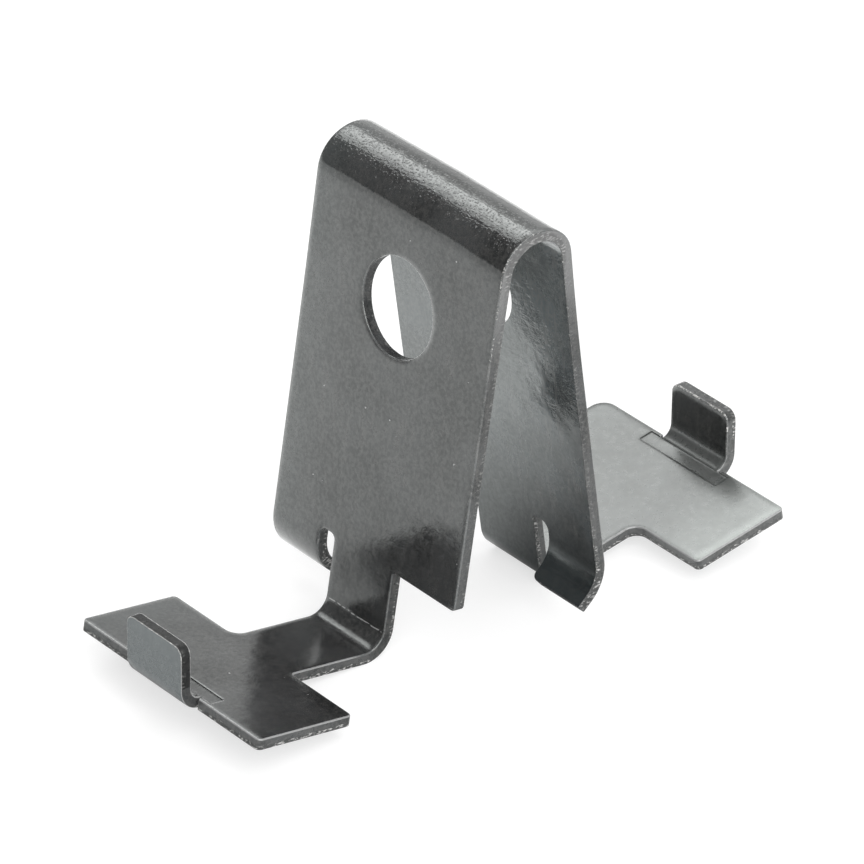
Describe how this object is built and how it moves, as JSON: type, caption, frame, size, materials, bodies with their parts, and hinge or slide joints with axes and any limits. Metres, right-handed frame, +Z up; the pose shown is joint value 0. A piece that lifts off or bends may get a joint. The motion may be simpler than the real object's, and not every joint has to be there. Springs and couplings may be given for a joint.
{
  "type": "t-bar mounting clip",
  "caption": "Black-coated sheet steel clip folded into a splayed tent, with a bolt hole in each leg, inward lips and outturned T-shaped feet with upturned tabs.",
  "frame": {"origin": "on the surface that the two heels rest on, midway between the feet and midway along the fold", "axes": "+X from the fold towards one foot, +Y along the fold, +Z up"},
  "size_m": [0.0652, 0.0254, 0.0444],
  "materials": {
    "black_coated_steel": "glossy black coating on steel"
  },
  "bodies": {
    "root": {"clip": "black_coated_steel"}
  },
  "joints": []
}
